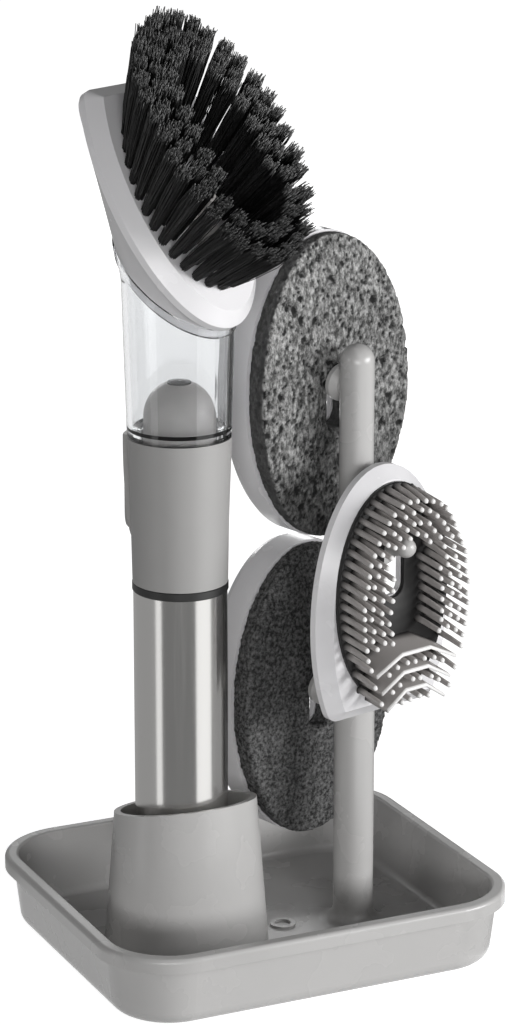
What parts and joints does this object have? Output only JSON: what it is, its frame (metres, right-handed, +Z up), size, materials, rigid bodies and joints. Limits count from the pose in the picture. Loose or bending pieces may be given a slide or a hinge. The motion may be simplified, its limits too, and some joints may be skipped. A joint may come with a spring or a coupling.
{
  "type": "dish wand set",
  "caption": "Soap-dispensing dish wand with steel handle, clear neck and push-fit brush head, standing in a drip tray whose post carries spare sponge, scourer and silicone heads.",
  "frame": {"origin": "middle of the tray's underside", "axes": "+Z up, +X along the tray's long side towards the post, -Y towards the front"},
  "size_m": [0.15, 0.1306, 0.327],
  "materials": {
    "grey_plastic": "fine satin moulding",
    "grip_grey": "satin moulding",
    "button_rubber": "soft satin",
    "white_plastic": "soft gloss",
    "black_plastic": "satin",
    "steel": "polished, faint drawn lines",
    "clear_tank": "clear moulded plastic",
    "clear_neck": "clear moulded plastic",
    "black_rubber": "satin",
    "black_bristle": "extruded filament",
    "grey_sponge": "open-cell sponge",
    "dark_scourer": "fine scouring fleece",
    "grey_silicone": "satin silicone"
  },
  "bodies": {
    "stand": {"drip_tray": "grey_plastic", "wand_cup": "grey_plastic", "lower_post": "grey_plastic", "upper_post": "grey_plastic", "upper_peg": "grey_plastic", "lower_peg": "grey_plastic", "front_peg": "grey_plastic"},
    "wand_body": {"grip_sleeve": "grip_grey", "pump_body": "grip_grey", "inlet_valve": "black_rubber", "outlet_valve": "black_rubber", "return_bellows": "black_rubber", "clear_neck": "clear_neck", "head_carrier": "white_plastic"},
    "wand_handle": {"end_cap": "black_plastic", "handle_tube": "steel", "soap_tank": "clear_tank", "seal_ring": "black_rubber"},
    "thumb_button": {"soap_button": "button_rubber", "pump_piston": "grip_grey"},
    "brush_head": {"brush_base": "white_plastic", "bristle_tufts": "black_bristle", "soap_nozzle": "grip_grey"},
    "sponge_head": {"sponge_base": "white_plastic", "sponge_pad": "grey_sponge"},
    "scourer_head": {"scourer_base": "white_plastic", "scourer_pad": "dark_scourer"},
    "silicone_head": {"silicone_base": "white_plastic", "silicone_pad": "grey_silicone"}
  },
  "joints": [
    {"name": "wand_lift", "type": "slide", "parent": "stand", "child": "wand_body", "axis": [0, 0, 1], "range_m": [0, 0.07]},
    {"name": "handle_lock", "type": "hinge", "parent": "wand_body", "child": "wand_handle", "pos_m": [-0.0268, 0, 0.13], "axis": [0, 0, 1], "range_deg": [0, 60]},
    {"name": "button_press", "type": "slide", "parent": "wand_body", "child": "thumb_button", "axis": [0.4226, -0.9063, 0], "range_m": [0, 0.0035], "stiffness_N_per_m": 900, "deforming": ["return_bellows"]},
    {"name": "brush_head_pull", "type": "slide", "parent": "wand_body", "child": "brush_head", "axis": [0.3675, -0.788, 0.4939], "range_m": [0, 0.02]},
    {"name": "sponge_head_pull", "type": "slide", "parent": "stand", "child": "sponge_head", "axis": [-0.2563, 0.9565, 0.1392], "range_m": [0, 0.026]},
    {"name": "scourer_head_pull", "type": "slide", "parent": "stand", "child": "scourer_head", "axis": [-0.2563, 0.9565, 0.1392], "range_m": [0, 0.026]},
    {"name": "silicone_head_pull", "type": "slide", "parent": "stand", "child": "silicone_head", "axis": [0.2563, -0.9565, 0.1392], "range_m": [0, 0.024]}
  ]
}
